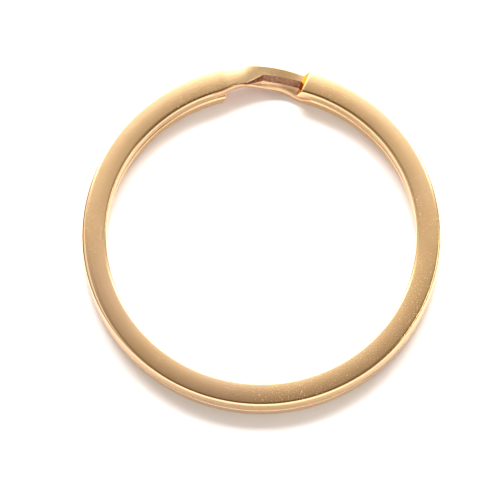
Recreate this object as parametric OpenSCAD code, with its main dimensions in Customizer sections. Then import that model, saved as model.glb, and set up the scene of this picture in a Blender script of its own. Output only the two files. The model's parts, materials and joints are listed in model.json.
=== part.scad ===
// Split key ring: one flat strip of spring steel, wound edgewise into two turns that lie
// on each other. The axis of the eye is +Z, the underside is at Z = 0, and the crossover,
// where the strip steps down from the upper turn to the lower one, is centred on +Y.
//
// The ring is the same after a half turn about the Y axis, so each lower piece is the
// upper piece turned over. The strip is named in stretches, because it bends when a key
// is threaded on: the free half of each turn lifts off the other turn at three sections.

/* [Ring] */
// Outside diameter of the ring
ring_od = 30; // [26:0.5:38]
// Width of the flat strip, from the eye to the outside
strip_width = 2.1; // [1.7:0.05:2.6]
// Thickness of one turn
turn_thickness = 1.4; // [1.1:0.05:1.75]
// Slit between the two turns when the ring is closed
turn_gap = 0.05; // [0.03:0.01:0.15]
// Rounding of the long edges of the strip
edge_radius = 0.2; // [0.15:0.01:0.4]

/* [Crossover] */
// Angle between the two cut ends, which is the angle that the strip steps down in
crossover_angle = 27; // [22:0.5:36]
// How far the strip bows outward at the crossover
crossover_bow = 0.15; // [0:0.01:0.3]
// How much of its inner side the strip loses at the crossover
crossover_waist = 0.45; // [0.1:0.01:0.6]
// Flat land left along the outer edge of the crossover
crossover_land = 0.4; // [0.2:0.01:0.8]
// Width of the rough facet beside that land
facet_width = 0.42; // [0.1:0.01:0.6]
// Depth of the rough facet
facet_depth = 0.3; // [0.05:0.01:0.4]

/* [Cut ends] */
// Lean of the cut, away from a straight radial cut
cut_lean = 9; // [0:1:20]
// Slope of the cut face, away from upright
cut_slope = 18; // [5:1:35]
// Angle of strip that each cut end takes in
cut_end_angle = 12; // [6:1:20]

/* [Bending sections] */
// Angle round the ring from one bending section to the next
bend_spacing = 45; // [30:1:55]

/* [Hidden] */
$fn = 96;
outer_r = ring_od / 2;
inner_r = outer_r - strip_width;
middle_r = outer_r - strip_width / 2;
upper_z = turn_thickness + turn_gap;
total_height = 2 * turn_thickness + turn_gap;
// Angles are counted anticlockwise from +X, seen from above. The crossover is at 90.
crossover_at = 90;
step_half = crossover_angle / 2;
// The crossover piece reaches a little past each cut end, until its section is plain.
crossover_reach = step_half + 5;
fixed_from = crossover_at + crossover_reach;
first_bend = 270 - bend_spacing;
second_bend = 270;
third_bend = 270 + bend_spacing;
cut_at = 360 + crossover_at - step_half;
cut_end_from = cut_at - cut_end_angle;
// Extra strip that the cut takes away, and the size of the block that cuts it.
cut_spare_angle = 4;
cut_block = 8;

// Number of sections along the crossover, and of segments round each of its edges.
crossover_steps = 40;
edge_segments = 5;
half_thickness = turn_thickness / 2;
plain_flat_end = inner_r + edge_radius;
crease_shift = outer_r - edge_radius - crossover_land - plain_flat_end;
// The crease starts at the cut end's angle and runs across the strip to the middle.
crease_early = 0.5;

gold = [0.83, 0.65, 0.42];
gold_cut = [0.90, 0.66, 0.34];
gold_rough = [0.62, 0.44, 0.30];

function clamp01(v) = min(1, max(0, v));
function smooth(v) = let (c = clamp01(v)) c * c * (3 - 2 * c);

// Share of the full crease at an angle from the middle of the crossover
function crease_share(a) =
    pow(clamp01(1 - (a + crease_early) / (step_half + crease_early)), 2)
    * smooth((a + crossover_reach) / (crossover_reach - step_half));

// Share of the full bow and waist
function bow_share(a) = smooth((step_half + 2.5 - abs(a)) / (step_half - 3.5));

// Height of the strip's middle above the lower turn's middle
function rise(a) = upper_z * smooth((a + step_half) / crossover_angle);

// Upper half of the section: [radius, height above the strip's middle], outside to inside
function half_section(share, bow) =
    let (out_r = outer_r + crossover_bow * bow,
         in_r = inner_r + crossover_waist * bow,
         crease_r = max(plain_flat_end + crease_shift * share, in_r + edge_radius),
         facet_r = crease_r - facet_width * share,
         facet_z = half_thickness - facet_depth * share,
         wall_z = (half_thickness - edge_radius) * (1 - 0.8 * share),
         step = 90 / edge_segments)
    concat(
        [for (i = [0:edge_segments])
            [out_r - edge_radius * (1 - cos(i * step)),
             half_thickness - edge_radius * (1 - sin(i * step))]],
        [[crease_r, half_thickness]],
        [for (i = [0:edge_segments])
            [facet_r - (facet_r - in_r) * sin(i * step),
             wall_z + (facet_z - wall_z) * cos(i * step)]]);

half_count = 2 * edge_segments + 3;
section_count = 2 * half_count;

// Whole section at an angle from the middle: the lower half is the upper half at the
// opposite angle, turned over.
function section(a) =
    let (top = half_section(crease_share(a), bow_share(a)),
         under = half_section(crease_share(-a), bow_share(a)))
    concat(top, [for (i = [half_count - 1:-1:0]) [under[i][0], -under[i][1]]]);

function placed(a) =
    [for (p = section(a))
        [p[0] * cos(crossover_at + a), p[0] * sin(crossover_at + a), p[1] + half_thickness + rise(a)]];

// Section of the strip, standing on the X axis of a 2D drawing
module strip_section() {
    translate([inner_r + edge_radius, 0])
        square([strip_width - 2 * edge_radius, turn_thickness]);
    translate([inner_r, edge_radius])
        square([strip_width, turn_thickness - 2 * edge_radius]);
    for (r = [inner_r + edge_radius, outer_r - edge_radius])
        for (z = [edge_radius, turn_thickness - edge_radius])
            translate([r, z])
                circle(r = edge_radius);
}

// A stretch of the upper turn between two angles
module upper_stretch(from, to) {
    translate([0, 0, upper_z])
        rotate([0, 0, from])
            rotate_extrude(angle = to - from)
                strip_section();
}

// Turns an upper piece over into the matching lower piece
module turned_over() {
    translate([0, 0, total_height])
        rotate([0, 180, 0])
            children();
}

// End of the upper turn, cut off with a leaning, sloping cut
module cut_end() {
    difference() {
        upper_stretch(cut_end_from, cut_at + cut_spare_angle);
        rotate([0, 0, cut_at])
            translate([middle_r, 0, upper_z])
                rotate([0, 0, -cut_lean])
                    rotate([cut_slope, 0, 0])
                        translate([-cut_block / 2, 0, -cut_block / 2])
                            cube(cut_block);
    }
}

module crossover() {
    angles = [for (i = [0:crossover_steps])
        -crossover_reach + 2 * crossover_reach * i / crossover_steps];
    points = [for (a = angles) each placed(a)];
    last = crossover_steps * section_count;
    color(gold_rough)
        polyhedron(
            points = points,
            faces = concat(
                [[for (i = [section_count - 1:-1:0]) i]],
                [for (s = [0:crossover_steps - 1])
                    for (i = [0:section_count - 1])
                        let (n = (i + 1) % section_count, b = s * section_count)
                        each [[b + i, b + n, b + section_count + n],
                              [b + i, b + section_count + n, b + section_count + i]]],
                [[for (i = [0:section_count - 1]) last + i]]),
            convexity = 6);
}

module upper_fixed() {
    color(gold)
        upper_stretch(fixed_from, first_bend);
}

module upper_flex_1() {
    color(gold)
        upper_stretch(first_bend, second_bend);
}

module upper_flex_2() {
    color(gold)
        upper_stretch(second_bend, third_bend);
}

module upper_free() {
    color(gold)
        upper_stretch(third_bend, cut_end_from);
}

module upper_cut_end() {
    color(gold_cut)
        cut_end();
}

module lower_fixed() {
    color(gold)
        turned_over()
            upper_stretch(fixed_from, first_bend);
}

module lower_flex_1() {
    color(gold)
        turned_over()
            upper_stretch(first_bend, second_bend);
}

module lower_flex_2() {
    color(gold)
        turned_over()
            upper_stretch(second_bend, third_bend);
}

module lower_free() {
    color(gold)
        turned_over()
            upper_stretch(third_bend, cut_end_from);
}

module lower_cut_end() {
    color(gold_cut)
        turned_over()
            cut_end();
}

crossover();
upper_fixed();
upper_flex_1();
upper_flex_2();
upper_free();
upper_cut_end();
lower_fixed();
lower_flex_1();
lower_flex_2();
lower_free();
lower_cut_end();
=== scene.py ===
"""Looks of the split key ring: one unbroken polished strip, swept round its two turns."""
import json
import math

import bpy
import numpy as np
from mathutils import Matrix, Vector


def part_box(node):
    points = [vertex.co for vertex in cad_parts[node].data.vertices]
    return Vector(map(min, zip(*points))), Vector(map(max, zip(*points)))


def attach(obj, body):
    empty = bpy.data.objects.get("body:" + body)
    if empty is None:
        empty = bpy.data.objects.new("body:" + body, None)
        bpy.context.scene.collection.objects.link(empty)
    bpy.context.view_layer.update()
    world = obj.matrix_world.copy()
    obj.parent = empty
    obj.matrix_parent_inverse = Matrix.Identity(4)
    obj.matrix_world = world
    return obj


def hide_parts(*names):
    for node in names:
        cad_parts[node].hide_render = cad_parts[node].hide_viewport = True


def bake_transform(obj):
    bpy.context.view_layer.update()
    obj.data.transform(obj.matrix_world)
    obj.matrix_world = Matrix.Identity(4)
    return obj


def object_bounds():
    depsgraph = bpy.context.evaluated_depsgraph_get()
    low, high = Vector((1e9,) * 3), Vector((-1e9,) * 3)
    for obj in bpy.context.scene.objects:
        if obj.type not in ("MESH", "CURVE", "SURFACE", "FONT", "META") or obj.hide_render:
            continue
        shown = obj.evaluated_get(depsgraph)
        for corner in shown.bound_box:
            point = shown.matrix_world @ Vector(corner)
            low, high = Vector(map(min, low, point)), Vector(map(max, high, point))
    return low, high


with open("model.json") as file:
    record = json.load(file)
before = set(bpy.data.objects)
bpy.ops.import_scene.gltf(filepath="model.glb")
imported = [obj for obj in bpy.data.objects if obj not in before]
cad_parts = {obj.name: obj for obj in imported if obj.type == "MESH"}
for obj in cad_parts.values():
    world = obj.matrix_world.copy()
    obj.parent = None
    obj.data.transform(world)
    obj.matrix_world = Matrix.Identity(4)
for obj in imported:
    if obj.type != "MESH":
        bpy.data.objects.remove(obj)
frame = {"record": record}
cad_low, cad_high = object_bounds()

MM = 0.001


# ------------------------------------------------------------------ sizes, from the CAD
def mount(name):
    return next(m for m in frame["record"]["mounts"] if m["name"] == name)


EYE_R = mount("eye")["dims"]["r_mm"] * MM
flex_low, flex_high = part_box("upper_flex_1")
OUT_R = -flex_low.y
UPPER_Z = flex_low.z
TURN_T = flex_high.z - flex_low.z
TOTAL = cad_high.z
MID_R = (OUT_R + EYE_R) / 2
HALF_T = TURN_T / 2
BOW = cad_high.y - OUT_R

# Angles in degrees, anticlockwise from +X seen from above. The crossover is at 90.
CROSS_AT = 90.0
STEP_HALF = 13.5        # half of the angle over which the strip climbs to the other turn
CROSS_REACH = 18.5      # half of the crossover's stretch
BOW_REACH = STEP_HALF + 2.5
BOW_FADE = STEP_HALF - 3.5
CREASE_EARLY = 0.5
CUT_AT = 360 + CROSS_AT - STEP_HALF
CUT_FROM = CUT_AT - 12
BENDS = (225.0, 270.0, 315.0)
HALF_SPACING = (BENDS[1] - BENDS[0]) / 2

# The strip's section
EDGE = 0.20 * MM        # rounding of the long edges
SLIT_EDGE = 0.26 * MM   # the same, as pressed, on the sides that face the slit and the floor
UNDER_EDGE = 0.10 * MM  # outer edge of the side that faces the slit
WAIST = 0.45 * MM       # what the inner side loses at the crossover
LAND = 0.40 * MM        # what is left of the flat face beside the facet
FACET_W = 0.42 * MM
FACET_D = 0.30 * MM
CROWN = 0.022 * MM      # how much the polished faces are domed
SHOULDER = 0.12 * MM    # band beside each long edge where the polish rolls the face off
SHOULDER_DROP = 0.021 * MM
WALL_LEAN = 0.09 * MM   # the outer wall is widest at the slit and leans in towards the outer face
CUT_LEAN = math.radians(9)
CUT_SLOPE = math.radians(18)
CUT_EDGE = 0.07 * MM    # rounding round the cut face

POLISHED, ROUGH, CUT, SATIN = 0, 1, 2, 3


def clamp01(v):
    return min(1.0, max(0.0, v))


def smooth(v):
    v = clamp01(v)
    return v * v * (3 - 2 * v)


def wrapped(a):
    return (a + 180.0) % 360.0 - 180.0


# ------------------------------------------------------------------ the section
ARC_POINTS = 9
ARC_SHARE = 0.93        # how much of a quarter turn an edge's rounding takes; the shoulder does the rest
FACE_POINTS = 8
FACE_MARGIN = 0.2 * MM
NEAR_EDGE = [v * MM for v in (0.01, 0.035, 0.06, 0.085, 0.11)]


def corner(u0, z0, width, height, square):
    """A rounded corner from wall to shoulder: an elliptic arc, flatter as square goes below 2."""
    points = []
    for i in range(ARC_POINTS + 1):
        t = math.pi / 2 * ARC_SHARE * i / ARC_POINTS
        c, s = math.cos(t) ** (2 / square), math.sin(t) ** (2 / square)
        points.append((u0 + width * c, z0 + height * s))
    return points


def crease_share(a):
    share = clamp01(1 - (a + CREASE_EARLY) / (STEP_HALF + CREASE_EARLY)) ** 2
    return share * smooth((a + CROSS_REACH) / (CROSS_REACH - STEP_HALF))


def bow_share(a):
    return smooth((BOW_REACH - abs(a)) / BOW_FADE)


def rise(a):
    return UPPER_Z * smooth((a + STEP_HALF) / (2 * STEP_HALF))


def half_section(share, bow, lean, out_w, out_h, out_square, roll_out, in_w, in_h, facet):
    """Upper half of the strip's section, outside to inside: (radius, height above the middle, finish)."""
    def wall_r(z):
        return OUT_R + BOW * bow - WALL_LEAN * (0.5 + 0.5 * lean * z / HALF_T)

    wall_top = HALF_T - out_h
    out_r = wall_r(wall_top)
    in_r = EYE_R + WAIST * bow
    shift = (OUT_R - EDGE - LAND) - (EYE_R + EDGE)
    crown = CROWN * (1 - share)
    roll_in = max(0.0, 1 - 6 * share)
    top = HALF_T - crown
    crease_r = max(EYE_R + in_w + shift * share, in_r + in_w)
    facet_share = max(share, 0.03)
    facet_r = crease_r - FACET_W * facet_share if facet else crease_r
    facet_z = top - FACET_D * facet_share if facet else top - SHOULDER_DROP * roll_in
    wall_z = (HALF_T - in_h) * (1 - 0.8 * share)
    points = [(wall_r(z), z, POLISHED) for z in (0.0, 0.9 * wall_top)]
    rounding_h = out_h - crown - SHOULDER_DROP * roll_out
    points += [(u, z, POLISHED) for u, z in corner(out_r - out_w, wall_top, out_w, rounding_h, out_square)]
    face_from, face_to = out_r - out_w, crease_r
    width = face_from - face_to
    middle = [FACE_MARGIN + (width - 2 * FACE_MARGIN) * i / (FACE_POINTS - 1) for i in range(FACE_POINTS)]
    for d in NEAR_EDGE + middle + [width - v for v in NEAR_EDGE[::-1]]:
        k = d / width
        roll = roll_out * max(0.0, 1 - d / SHOULDER) ** 2
        roll += roll_in * max(0.0, 1 - (width - d) / SHOULDER) ** 2
        points.append((face_from - d, top + crown * 4 * k * (1 - k) - SHOULDER_DROP * roll, POLISHED))
    if facet:
        points.append((crease_r, top - SHOULDER_DROP * roll_in, POLISHED))
        for k in (0.04, 0.35, 0.7, 0.97):
            points.append((crease_r + (facet_r - crease_r) * k, top + (facet_z - top) * k, ROUGH))
    for i in range(ARC_POINTS + 1):
        t = math.pi / 2 * (1 - ARC_SHARE + ARC_SHARE * i / ARC_POINTS)
        points.append((facet_r - (facet_r - in_r) * math.sin(t),
                       wall_z + (facet_z - wall_z) * math.cos(t), SATIN if facet else POLISHED))
    points.append((in_r, wall_z * 0.9, POLISHED))
    points.append((in_r, 0.0, POLISHED))
    return points


def near_angle(angle, middle, spread):
    return math.exp(-(wrapped(angle - middle) / spread) ** 2)


def edges_at(angle, turn):
    """Edges of a turn's outer face: (width, height, squareness, shoulder) outside, (width, height) inside.

    Polishing wore the upper turn's unevenly.
    """
    if turn == "lower":
        return 0.16 * MM, 0.24 * MM, 2.0, 1.0, SLIT_EDGE, SLIT_EDGE
    bevel = near_angle(angle, 190, 30)
    back = near_angle(angle, 95, 60)
    right = near_angle(angle, 350, 52)
    front = near_angle(angle, 270, 40)
    width = (0.06 + 0.30 * bevel + 0.14 * right + 0.03 * front) * MM
    height = (0.14 + 0.10 * bevel + 0.18 * right + 0.38 * front) * MM
    return width, height, 2.0 - 0.5 * bevel, 1 - 0.95 * back, 0.14 * MM, 0.26 * MM


def section_at(angle, turn, facet=False):
    """The whole section at an angle: list of (radius, z, finish), going round it once."""
    a = angle - CROSS_AT
    near = abs(a) <= CROSS_REACH
    top_share = crease_share(a) if near else 0.0
    under_share = crease_share(-a) if near else 0.0
    bow = bow_share(a) if near else 0.0
    lean = 2 * smooth((a + CROSS_REACH) / (2 * CROSS_REACH)) - 1 if near else 1.0
    top = half_section(top_share, bow, lean, *edges_at(angle, turn), facet)
    under_edges = (UNDER_EDGE, UNDER_EDGE, 2.0, 1.0, SLIT_EDGE, SLIT_EDGE)
    under = half_section(under_share, bow, -lean, *under_edges, facet)
    return top + [(r, -z, f) for r, z, f in under[::-1]][1:-1]


def lift_at(angle):
    """Height of the strip's underside: it climbs through the crossover and stays up after it."""
    a = angle - CROSS_AT
    return rise(a) if abs(a) <= CROSS_REACH else UPPER_Z


# ------------------------------------------------------------------ sweeping it
def grid_normals(grid):
    """Vertex normals of a grid of points [station, section point, xyz], closed along the section."""
    n_s, n_p = grid.shape[:2]
    total = np.zeros_like(grid)
    ahead = np.roll(grid, -1, axis=1)
    for s in range(n_s - 1):
        corners = (grid[s], grid[s + 1], ahead[s + 1], ahead[s])
        face = np.cross(corners[2] - corners[0], corners[3] - corners[1])
        face /= np.maximum(np.linalg.norm(face, axis=1, keepdims=True), 1e-20)
        for k, (station, shifted) in enumerate(((s, 0), (s + 1, 0), (s + 1, 1), (s, 1))):
            u, v = corners[k - 1] - corners[k], corners[(k + 1) % 4] - corners[k]
            lengths = np.linalg.norm(u, axis=1) * np.linalg.norm(v, axis=1)
            cosine = (u * v).sum(1) / np.maximum(lengths, 1e-20)
            weighted = face * np.arccos(np.clip(cosine, -1, 1))[:, None]
            total[station] += np.roll(weighted, shifted, axis=0)
    return total / np.maximum(np.linalg.norm(total, axis=2, keepdims=True), 1e-20)


def stations(start, end, step):
    count = max(2, int(math.ceil(abs(end - start) / step)) + 1)
    return [start + (end - start) * i / (count - 1) for i in range(count)]


def placed(angle, section, lift):
    t = math.radians(angle)
    c, s = math.cos(t), math.sin(t)
    return [(r * c, r * s, lift + HALF_T + z) for r, z, f in section]


def turned_over(points):
    """Half turn about Y, which turns the upper piece into the lower one."""
    out = np.array(points, float)
    out[..., 0] *= -1
    out[..., 2] = TOTAL - out[..., 2]
    return out


def sweep(name, start, end, step, turn, over=False, facet=False):
    """One stretch of the strip as a mesh, its ends left open and its normals true at both ends."""
    angles = stations(start, end, step)
    gap = angles[1] - angles[0]
    wide = [angles[0] - gap] + angles + [angles[-1] + gap]
    grid = np.array([placed(a, section_at(a, turn, facet), lift_at(a)) for a in wide])
    finish = [f for r, z, f in section_at(start, turn, facet)]
    if over:
        grid = turned_over(grid)
    normals = grid_normals(grid)
    return mesh_from(name, grid[1:-1], normals[1:-1], finish)


def mesh_from(name, grid, normals, finish, extra_faces=(), extra_vertices=(), extra_normals=()):
    """A mesh of a grid of points; the extra faces close its end and show the cut."""
    n_s, n_p = grid.shape[:2]
    vertices = [tuple(p) for p in grid.reshape(-1, 3)] + [tuple(p) for p in extra_vertices]
    faces, materials = [], []
    for s in range(n_s - 1):
        for i in range(n_p):
            j = (i + 1) % n_p
            faces.append((s * n_p + i, (s + 1) * n_p + i, (s + 1) * n_p + j, s * n_p + j))
            materials.append(max((f for f in (finish[i], finish[j])), key=(POLISHED, SATIN, ROUGH).index))
    faces += list(extra_faces)
    materials += [CUT] * len(extra_faces)
    mesh = bpy.data.meshes.new(name)
    mesh.from_pydata(vertices, [], faces)
    mesh.update()
    mesh.polygons.foreach_set("use_smooth", [True] * len(mesh.polygons))
    mesh.polygons.foreach_set("material_index", materials)
    all_normals = np.concatenate([normals.reshape(-1, 3), np.array(extra_normals, float).reshape(-1, 3)])
    mesh.normals_split_custom_set_from_vertices([tuple(n) for n in all_normals])
    obj = bpy.data.objects.new(name, mesh)
    bpy.context.scene.collection.objects.link(obj)
    return obj


def cut_end(name, start, turn, over=False):
    """The last stretch of a turn, with its leaning, sloping cut face and softened edges."""
    section = section_at(start, turn)
    count = len(section)
    flat = np.array([(r, z) for r, z, f in section])
    ahead, behind = np.roll(flat, -1, 0), np.roll(flat, 1, 0)
    tangent = ahead - behind
    outward = np.stack([tangent[:, 1], -tangent[:, 0]], 1)
    outward /= np.maximum(np.linalg.norm(outward, axis=1, keepdims=True), 1e-20)
    if ((flat - flat.mean(0)) * outward).sum() < 0:
        outward = -outward

    def reach(points, back):
        """Angle at which each section point meets the cut plane, moved back along the strip."""
        along = (-(points[:, 0] - MID_R) * math.tan(CUT_LEAN)
                 - (points[:, 1] + HALF_T) * math.tan(CUT_SLOPE) / math.cos(CUT_LEAN) - back)
        return CUT_AT + np.degrees(along / points[:, 0])

    rings = []
    ends = reach(flat, CUT_EDGE)
    for k in np.linspace(0, 1, 14):
        rings.append((flat, start + (ends - start) * k))
    for i in range(1, 5):
        t = math.pi / 2 * i / 4
        inset = flat - outward * CUT_EDGE * (1 - math.cos(t))
        rings.append((inset, reach(inset, CUT_EDGE * (1 - math.sin(t)))))
    last = rings[-1][0]
    centre = last.mean(0)
    for k in (0.06, 0.5):
        inner = last + (centre - last) * k
        rings.append((inner, reach(inner, 0.0)))
    # One more ring before the first, so that the normals there match the stretch before it
    grid = []
    gap = rings[1][1][0] - start
    for points, angles in [(flat, np.full(count, start - gap))] + rings:
        t = np.radians(angles)
        grid.append(np.stack([points[:, 0] * np.cos(t), points[:, 0] * np.sin(t),
                              UPPER_Z + HALF_T + points[:, 1]], 1))
    grid = np.array(grid)
    middle = grid[-1].mean(0)
    if over:
        grid, middle = turned_over(grid), turned_over(middle)
    normals = grid_normals(grid)
    grid, normals = grid[1:], normals[1:]
    n_s, n_p = grid.shape[:2]
    face_normal = normals[-1].mean(0)
    face_normal /= np.linalg.norm(face_normal)
    normals[-1] = face_normal
    fan = [((n_s - 1) * n_p + i, n_s * n_p, (n_s - 1) * n_p + (i + 1) % n_p) for i in range(n_p)]
    obj = mesh_from(name, grid, normals, [POLISHED] * n_p, fan, [middle], [face_normal])
    # The last of the rounding and all inside it show the cut
    cut_faces_from = (n_s - 4) * n_p
    for polygon in obj.data.polygons:
        if polygon.index >= cut_faces_from:
            polygon.material_index = CUT
    return obj


# ------------------------------------------------------------------ materials
def new_material(name):
    material = bpy.data.materials.new(name)
    material.use_nodes = True
    nodes = material.node_tree.nodes
    nodes.clear()
    out = nodes.new("ShaderNodeOutputMaterial")
    shader = nodes.new("ShaderNodeBsdfPrincipled")
    material.node_tree.links.new(shader.outputs["BSDF"], out.inputs["Surface"])
    return material, nodes, material.node_tree.links, shader


def math_node(nodes, operation):
    node = nodes.new("ShaderNodeMath")
    node.operation = operation
    return node


def ramp_node(nodes, stops):
    node = nodes.new("ShaderNodeValToRGB")
    elements = node.color_ramp.elements
    elements[0].position, elements[0].color = stops[0][0], stops[0][1]
    elements[1].position, elements[1].color = stops[-1][0], stops[-1][1]
    for position, colour in stops[1:-1]:
        element = elements.new(position)
        element.color = colour
    return node


def grey(v):
    return (v, v, v, 1)


def gold(name):
    """A metal material: itself, its shader, and the parts that its textures are built from."""
    material, nodes, links, shader = new_material(name)
    shader.inputs["Metallic"].default_value = 1.0
    return material, shader, (nodes, links, nodes.new("ShaderNodeTexCoord"))


def noise_node(parts, scale, detail):
    """Noise in the object's own coordinates."""
    nodes, links, place = parts
    noise = nodes.new("ShaderNodeTexNoise")
    noise.inputs["Scale"].default_value = scale
    noise.inputs["Detail"].default_value = detail
    links.new(place.outputs["Object"], noise.inputs["Vector"])
    return noise


def ramp_of(parts, noise, stops):
    nodes, links, place = parts
    ramp = ramp_node(nodes, stops)
    links.new(noise.outputs["Fac"], ramp.inputs["Fac"])
    return ramp


def add_bump(parts, noise, shader, strength, distance):
    nodes, links, place = parts
    bump = nodes.new("ShaderNodeBump")
    bump.inputs["Strength"].default_value = strength
    bump.inputs["Distance"].default_value = distance
    links.new(noise.outputs["Fac"], bump.inputs["Height"])
    links.new(bump.outputs["Normal"], shader.inputs["Normal"])


def unpolished_gold(name, roughness, noise_size, stops, strength, distance):
    """A gold of one roughness, with its colour and relief from the same noise: (material, shader, noise)."""
    material, shader, parts = gold(name)
    shader.inputs["Roughness"].default_value = roughness
    noise = noise_node(parts, *noise_size)
    colour = ramp_of(parts, noise, stops)
    material.node_tree.links.new(colour.outputs["Color"], shader.inputs["Base Color"])
    add_bump(parts, noise, shader, strength, distance)
    return material, shader, noise


def polished_gold():
    material, shader, parts = gold("polished_gold")
    nodes, links, place = parts

    # Slow change of tone in the plating
    stops = [(0.35, (0.92, 0.620, 0.356, 1)), (0.65, (0.94, 0.628, 0.312, 1))]
    colour = ramp_of(parts, noise_node(parts, 90, 2), stops)
    links.new(colour.outputs["Color"], shader.inputs["Base Color"])

    # Fine grain
    add_bump(parts, noise_node(parts, 9000, 3), shader, 0.08, 0.02 * MM)

    # Faint cloudiness of the polish
    cloud = ramp_of(parts, noise_node(parts, 900, 4), [(0.3, grey(0.135)), (0.7, grey(0.155))])

    # Specks left by the plating: rougher points, thick in some places and sparse in others
    peaks = ramp_of(parts, noise_node(parts, 11000, 1), [(0.64, grey(0)), (0.72, grey(0.42))])
    patches = ramp_of(parts, noise_node(parts, 200, 2), [(0.35, grey(0.2)), (0.65, grey(1))])
    specks = math_node(nodes, "MULTIPLY")
    links.new(peaks.outputs["Color"], specks.inputs[0])
    links.new(patches.outputs["Color"], specks.inputs[1])
    roughness = math_node(nodes, "MAXIMUM")
    links.new(cloud.outputs["Color"], roughness.inputs[0])
    links.new(specks.outputs[0], roughness.inputs[1])
    links.new(roughness.outputs[0], shader.inputs["Roughness"])
    return material


def rough_gold():
    stops = [(0.3, (0.22, 0.09, 0.055, 1)), (0.58, (0.42, 0.20, 0.11, 1)), (0.72, (0.92, 0.62, 0.38, 1))]
    material, shader, noise = unpolished_gold("rough_gold", 0.38, (5000, 5), stops, 0.8, 0.05 * MM)
    noise.inputs["Roughness"].default_value = 0.7
    return material


def cut_gold():
    stops = [(0.3, (0.76, 0.36, 0.09, 1)), (0.7, (0.84, 0.44, 0.13, 1))]
    material, shader, noise = unpolished_gold("cut_gold", 0.22, (3000, 3), stops, 0.15, 0.02 * MM)
    # Metal whitens where it is seen at a grazing angle, and the tint holds that back
    shader.inputs["Specular Tint"].default_value = (0.88, 0.50, 0.17, 1)
    return material


def satin_gold():
    stops = [(0.3, (0.78, 0.46, 0.25, 1)), (0.7, (0.88, 0.55, 0.31, 1))]
    return unpolished_gold("satin_gold", 0.42, (2500, 4), stops, 0.2, 0.02 * MM)[0]


MATERIALS = [polished_gold(), rough_gold(), cut_gold(), satin_gold()]


def dress(obj):
    for material in MATERIALS:
        obj.data.materials.append(material)
    return obj


step = sweep("crossover_step", CROSS_AT - CROSS_REACH, CROSS_AT + CROSS_REACH, 0.5, "upper", facet=True)
crossover = dress(step)
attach(crossover, "coil")
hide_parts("crossover")

for turn, over in (("upper", False), ("lower", True)):
    first = CROSS_AT + CROSS_REACH
    ends = [b - HALF_SPACING for b in BENDS] + [BENDS[-1] + HALF_SPACING]
    fixed = dress(sweep(f"{turn}_turn_fixed", first, ends[0], 1.0, turn, over))
    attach(fixed, "coil")
    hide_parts(f"{turn}_fixed")
    for i in range(3):
        bend = sweep(f"{turn}_turn_bend_{i + 1}", ends[i], ends[i + 1], 1.0, turn, over)
        piece = dress(bend)
        if i < 2:
            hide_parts(f"{turn}_flex_{i + 1}")
        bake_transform(piece)
    free = dress(sweep(f"{turn}_turn_free", ends[3], CUT_FROM, 1.0, turn, over))
    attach(free, f"{turn}_end")
    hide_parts(f"{turn}_free")
    tip = dress(cut_end(f"{turn}_turn_cut_end", CUT_FROM, turn, over))
    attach(tip, f"{turn}_end")
    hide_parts(f"{turn}_cut_end")

# ------------------------------------------------------------------ floor
SIDE = 1.5              # half of the floor's side, in metres
FLOOR_DROP = 0.01 * MM  # keeps the floor clear of the strip's underside
floor_mesh = bpy.data.meshes.new("floor")
floor_corners = [(-SIDE, -SIDE, 0), (SIDE, -SIDE, 0), (SIDE, SIDE, 0), (-SIDE, SIDE, 0)]
floor_mesh.from_pydata(floor_corners, [], [(0, 1, 2, 3)])
floor = bpy.data.objects.new("floor", floor_mesh)
bpy.context.scene.collection.objects.link(floor)
floor.location.z = -FLOOR_DROP
material, nodes, links, shader = new_material("pale_floor_painted_warm_bounce")
# Painted reflected light: the pale floor is tinted warm so that its shadow round the ring shows a warm
# bounce from the gold; where the floor is lit it clips to white
shader.inputs["Base Color"].default_value = (0.84, 0.77, 0.73, 1)
shader.inputs["Roughness"].default_value = 0.30
shader.inputs["IOR"].default_value = 2.4
floor_mesh.materials.append(material)

# ------------------------------------------------------------------ light
world = bpy.data.worlds.new("studio")
bpy.context.scene.world = world
world.use_nodes = True
tree = world.node_tree
tree.nodes.clear()
world_out = tree.nodes.new("ShaderNodeOutputWorld")
background = tree.nodes.new("ShaderNodeBackground")
tree.links.new(background.outputs["Background"], world_out.inputs["Surface"])
direction = tree.nodes.new("ShaderNodeTexCoord")


def toward(azimuth, elevation):
    """Unit vector: azimuth 0 is +X, 90 is +Y (behind the ring)."""
    azimuth, elevation = math.radians(azimuth), math.radians(elevation)
    level = math.cos(elevation)
    return (level * math.cos(azimuth), level * math.sin(azimuth), math.sin(elevation))


def glow(centre, widen, stops):
    """Brightness of the studio by the angle from a centre; widen stretches it along X and Y.

    Stops are (angle in degrees, grey or colour).
    """
    scaled = tree.nodes.new("ShaderNodeVectorMath")
    scaled.operation = "MULTIPLY"
    scaled.inputs[1].default_value = (1 / widen[0], 1 / widen[1], 1)
    tree.links.new(direction.outputs["Generated"], scaled.inputs[0])
    unit = tree.nodes.new("ShaderNodeVectorMath")
    unit.operation = "NORMALIZE"
    tree.links.new(scaled.outputs[0], unit.inputs[0])
    dot = tree.nodes.new("ShaderNodeVectorMath")
    dot.operation = "DOT_PRODUCT"
    dot.inputs[1].default_value = centre
    tree.links.new(unit.outputs[0], dot.inputs[0])
    angle = math_node(tree.nodes, "ARCCOSINE")
    tree.links.new(dot.outputs["Value"], angle.inputs[0])
    share = math_node(tree.nodes, "DIVIDE")
    share.inputs[1].default_value = math.pi
    tree.links.new(angle.outputs[0], share.inputs[0])
    colours = [grey(v) if isinstance(v, (int, float)) else (*v, 1) for a, v in stops]
    ramp = ramp_node(tree.nodes, [(a / 180, colour) for (a, v), colour in zip(stops, colours)])
    tree.links.new(share.outputs[0], ramp.inputs["Fac"])
    return ramp.outputs["Color"]


def added(*sockets):
    total = sockets[0]
    for socket in sockets[1:]:
        node = tree.nodes.new("ShaderNodeVectorMath")
        node.operation = "ADD"
        tree.links.new(total, node.inputs[0])
        tree.links.new(socket, node.inputs[1])
        total = node.outputs[0]
    return total


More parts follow.
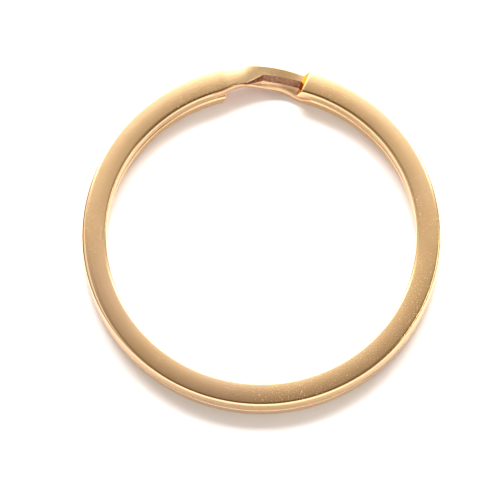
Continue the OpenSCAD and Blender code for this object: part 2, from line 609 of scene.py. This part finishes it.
room = glow(toward(270, 86), (1, 1), [
    (0, (0.13, 0.085, 0.05)), (11, (0.14, 0.09, 0.055)), (24, (0.25, 0.21, 0.18)),
    (40, 0.24), (60, 0.14), (90, 0.06), (96, 0.20), (180, 0.20)])
back = glow(toward(90, 50), (2, 1), [
    (0, (2.4, 2.6, 3.0)), (10, (2.3, 2.5, 2.9)), (13, (1.95, 2.15, 2.45)), (16, (1.24, 1.30, 1.42)),
    (18, (0.77, 0.78, 0.80)), (21, (0.37, 0.35, 0.33)), (26, 0.15), (34, 0.03), (40, 0)])
left = glow(toward(180, 42), (1, 2.2), [(0, 0.85), (13, 0.80), (20, 0.15), (26, 0)])
front = glow(toward(270, 28), (2, 1), [(0, (1.4, 1.6, 1.7)), (16, (1.3, 1.5, 1.6)), (30, 0)])
tree.links.new(added(room, back, left, front), background.inputs["Color"])
background.inputs["Strength"].default_value = 1.0


def softbox(name, azimuth, elevation, distance, wide, high, energy):
    light = bpy.data.lights.new(name, "AREA")
    light.shape = "RECTANGLE"
    light.size, light.size_y = wide, high
    light.energy = energy
    obj = bpy.data.objects.new(name, light)
    bpy.context.scene.collection.objects.link(obj)
    place = toward(azimuth, elevation)
    obj.location = [c * distance for c in place]
    obj.rotation_euler = (math.radians(90 - elevation), 0, math.radians(azimuth + 90))
    obj.visible_camera = False
    return obj


softbox("back_softbox", 90, 50, 0.6, 0.6, 0.22, 1.2)
softbox("right_strip", 5, 46, 0.6, 0.34, 0.11, 0.7)

# The key and the fill brighten the floor, and are left out of the metal's reflections
key = softbox("overhead_key", 90, 60, 0.8, 0.7, 0.26, 11.0)
key.visible_glossy = False
fill = softbox("overhead_fill", 270, 80, 0.6, 1.0, 1.0, 1.3)
fill.visible_glossy = False

# ------------------------------------------------------------------ camera
camera = bpy.data.cameras.new("camera")
camera_object = bpy.data.objects.new("camera", camera)
bpy.context.scene.collection.objects.link(camera_object)
elevation = math.radians(71.42)
distance = 0.5
aim_z = TOTAL - 1.125 * MM
camera_object.location = (0, -distance * math.cos(elevation), aim_z + distance * math.sin(elevation))
camera_object.rotation_euler = (math.pi / 2 - elevation, 0, 0)
camera.sensor_width = 36
camera.lens = 428.5
camera.shift_x = -0.01865
camera.shift_y = -0.02877
camera.clip_start = 0.01
camera.clip_end = 10
bpy.context.scene.camera = camera_object
bpy.context.scene.view_settings.view_transform = "Standard"
